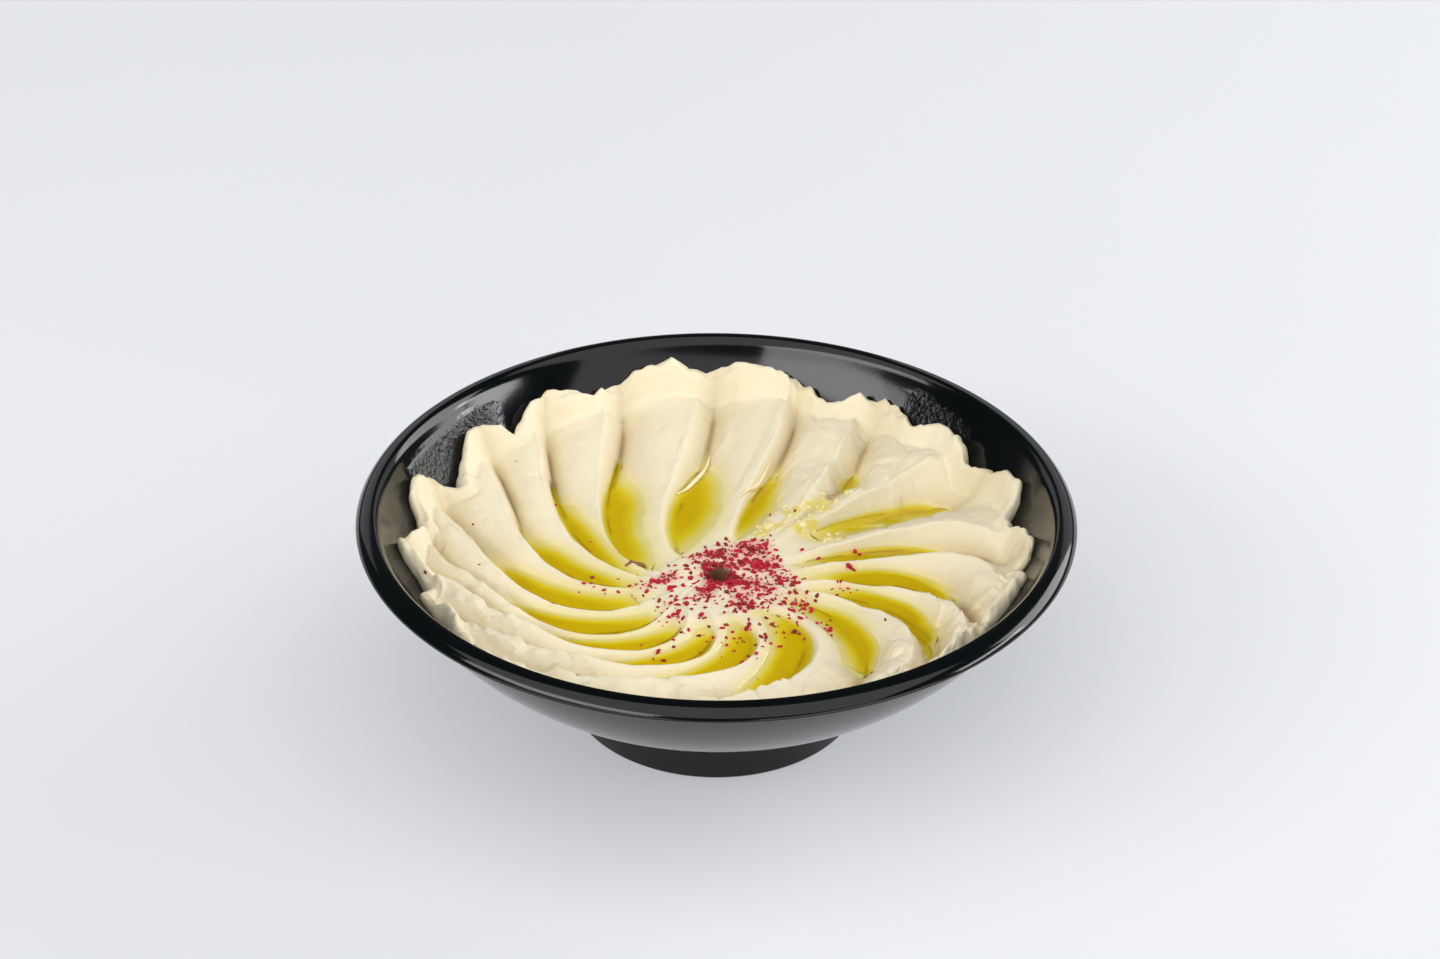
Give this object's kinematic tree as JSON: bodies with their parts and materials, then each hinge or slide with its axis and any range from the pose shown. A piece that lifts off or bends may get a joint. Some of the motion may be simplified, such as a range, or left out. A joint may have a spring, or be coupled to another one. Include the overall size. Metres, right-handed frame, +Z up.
{
  "type": "bowl of hummus",
  "caption": "Round glossy black bowl on a foot ring, filled with hummus swirled into petals, with olive oil standing in the furrows.",
  "frame": {"origin": "middle of the foot ring's underside, on the surface that the bowl stands on", "axes": "+Z up along the bowl's axis; -Y towards the guest; +X to the guest's right"},
  "size_m": [0.2, 0.2, 0.066],
  "materials": {
    "bowl_black": "glossy black melamine, lightly worn",
    "hummus": "thick cream paste, satin",
    "olive_oil": "clear golden oil, wet"
  },
  "bodies": {
    "root": {"bowl": "bowl_black", "hummus": "hummus", "oil_01": "olive_oil", "oil_02": "olive_oil", "oil_03": "olive_oil", "oil_04": "olive_oil", "oil_05": "olive_oil", "oil_06": "olive_oil", "oil_07": "olive_oil", "oil_08": "olive_oil", "oil_09": "olive_oil", "oil_10": "olive_oil", "oil_11": "olive_oil", "oil_12": "olive_oil", "oil_13": "olive_oil", "oil_14": "olive_oil", "oil_15": "olive_oil", "oil_16": "olive_oil", "oil_17": "olive_oil"}
  },
  "joints": []
}
